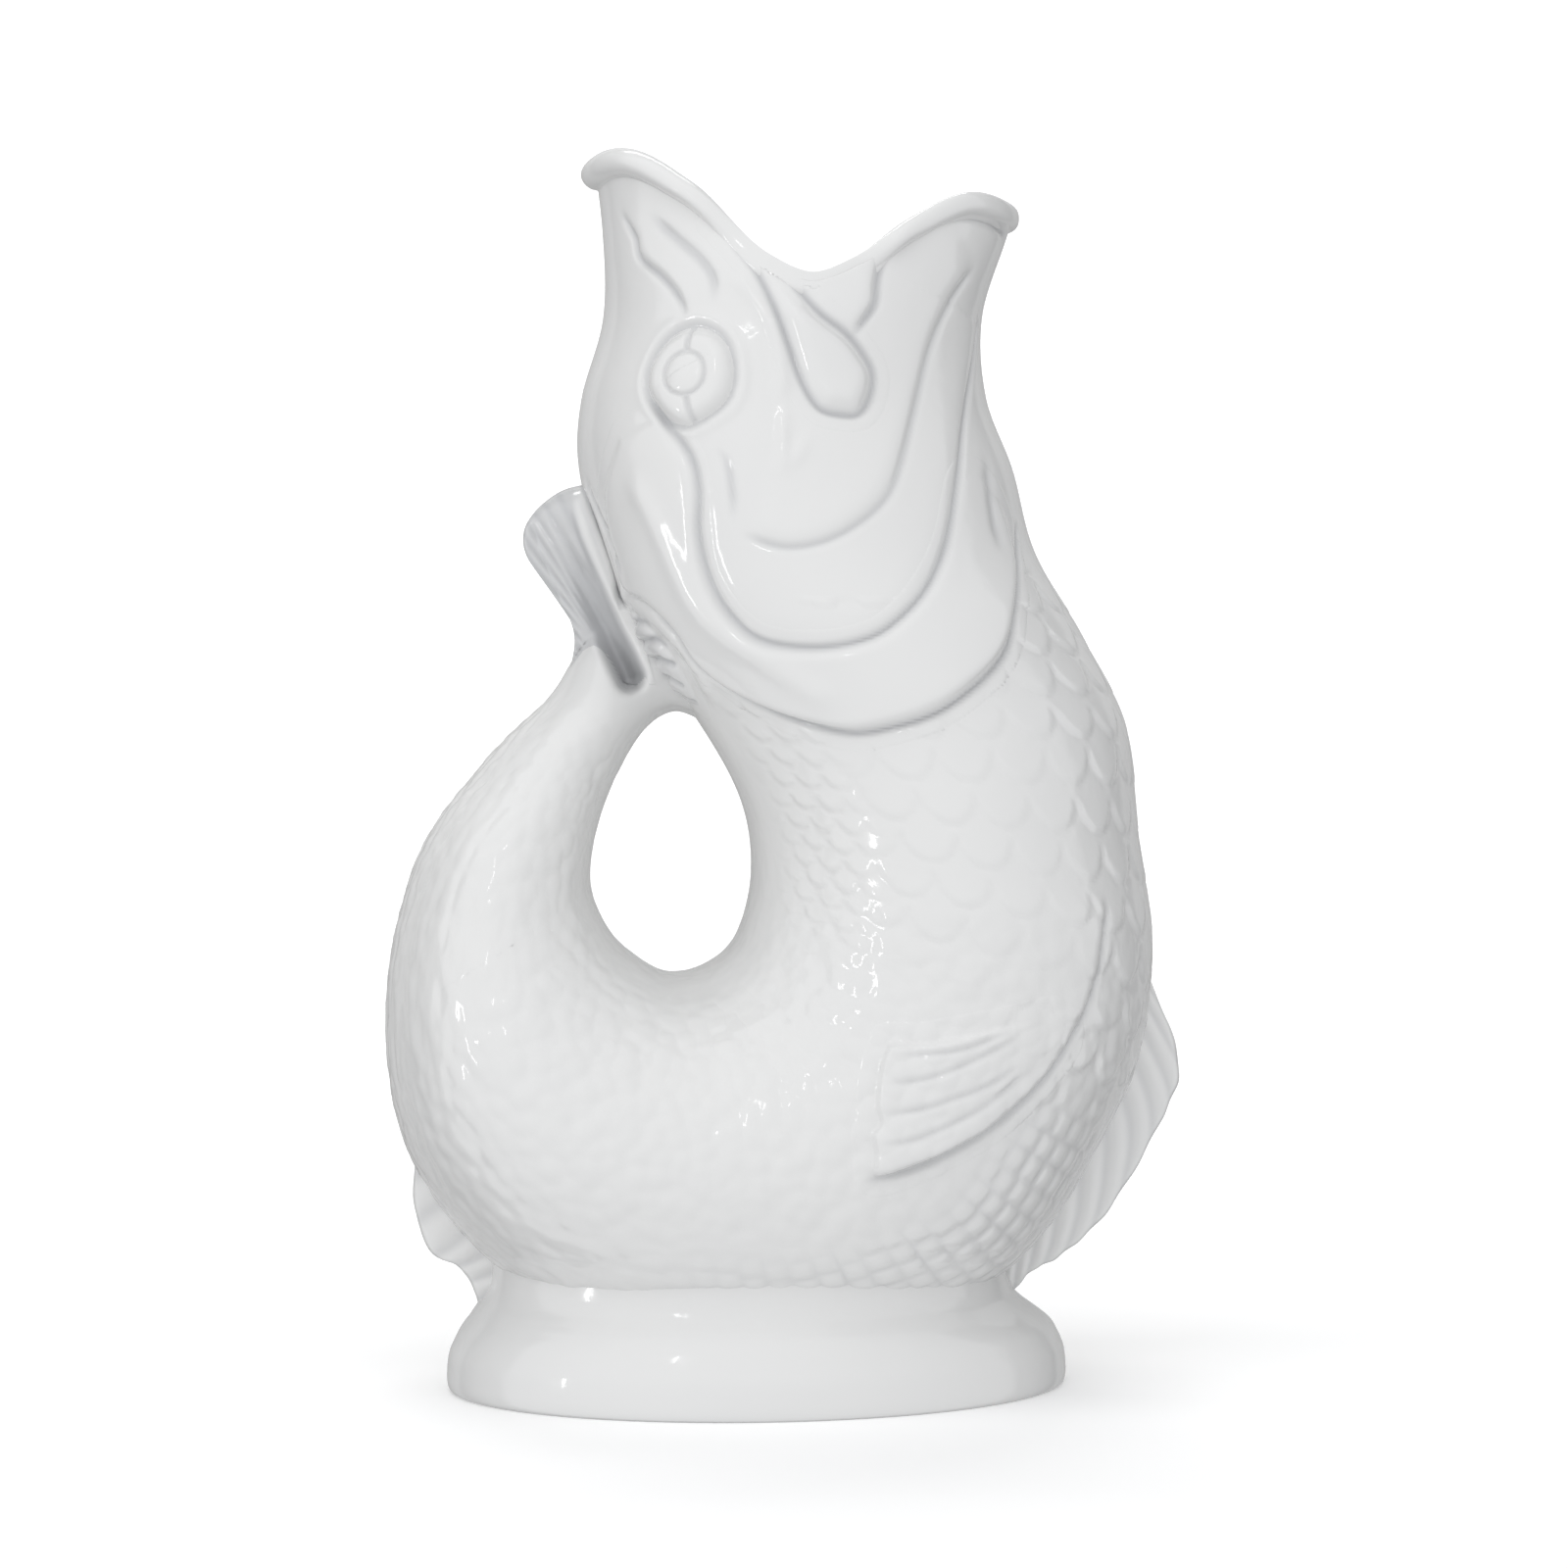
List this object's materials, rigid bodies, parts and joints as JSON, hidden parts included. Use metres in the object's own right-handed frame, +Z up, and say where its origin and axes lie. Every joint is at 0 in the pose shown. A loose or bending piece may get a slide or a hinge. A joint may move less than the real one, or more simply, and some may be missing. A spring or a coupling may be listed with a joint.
{
  "type": "gurgle jug",
  "caption": "White glazed jug shaped as an upright fish: open mouth as spout, hollow curled tail as handle and gurgling air chamber, ribbed fins and an oval plinth.",
  "frame": {"origin": "middle of the plinth's foot, on the table", "axes": "+Z up, +X to the fish's belly and lower jaw, Y across the fish with Y = 0 as its mid-plane"},
  "size_m": [0.1653, 0.1086, 0.2552],
  "materials": {
    "glaze": "gloss white glaze"
  },
  "bodies": {
    "root": {"body_shell": "glaze", "head_shell": "glaze", "tail_shell": "glaze", "plinth": "glaze", "lip": "glaze", "tail_fin": "glaze", "belly_fin": "glaze", "anal_fin": "glaze", "dorsal_fin_left": "glaze", "dorsal_fin_right": "glaze", "pectoral_fin_left": "glaze", "pectoral_fin_right": "glaze", "gill_cover_left": "glaze", "gill_cover_right": "glaze", "jaw_left": "glaze", "jaw_right": "glaze", "eye_left": "glaze", "eye_right": "glaze"}
  },
  "joints": []
}
